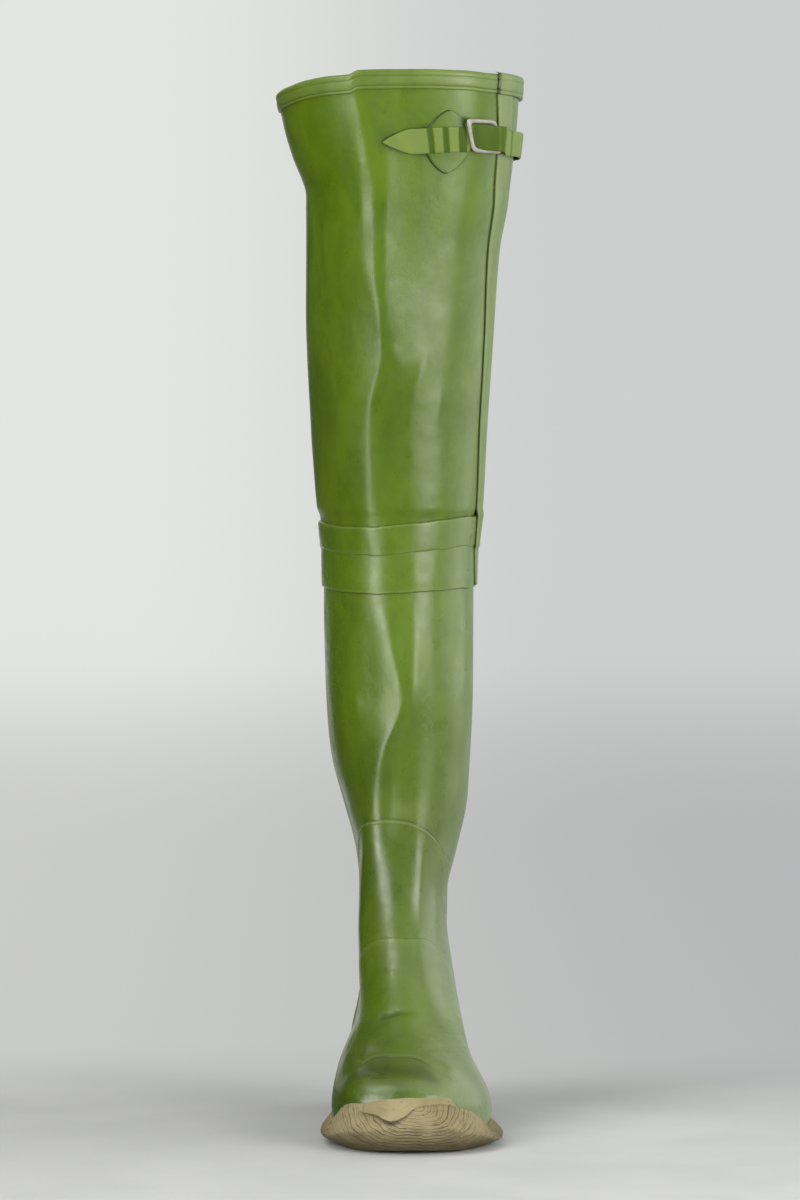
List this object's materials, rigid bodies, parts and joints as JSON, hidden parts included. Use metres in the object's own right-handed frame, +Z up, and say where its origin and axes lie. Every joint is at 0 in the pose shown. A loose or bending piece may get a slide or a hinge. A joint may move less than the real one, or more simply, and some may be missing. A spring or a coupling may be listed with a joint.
{
  "type": "thigh-high rubber boot",
  "caption": "Thigh-high green rubber boot for the left foot, with knee bands, a side seam strip, a buckled strap under the collar and a rough tan sole.",
  "frame": {"origin": "on the floor under the middle of the whole boot's box", "axes": "+Z up the leg, -Y towards the toe, +X towards the wearer's outer (left) side"},
  "size_m": [0.1784, 0.3108, 0.7548],
  "materials": {
    "green_rubber": "satin olive-green rubber",
    "tan_rubber": "matt, rough-cut tan rubber",
    "dark_rubber": "matt dark olive rubber",
    "insole_felt": "plain felted fabric",
    "nickel": "dull bright metal"
  },
  "bodies": {
    "root": {"outsole": "tan_rubber", "heel": "green_rubber", "kick_spur": "dark_rubber", "insole": "insole_felt", "upper": "green_rubber", "vamp_overlay": "green_rubber", "heel_counter": "green_rubber", "heel_patch": "green_rubber", "thigh_shaft": "green_rubber", "knee_band_lower": "green_rubber", "knee_band_upper": "green_rubber", "collar_binding": "green_rubber", "side_seam_strip": "green_rubber", "strap_patch": "green_rubber", "strap": "green_rubber", "buckle": "nickel"}
  },
  "joints": []
}
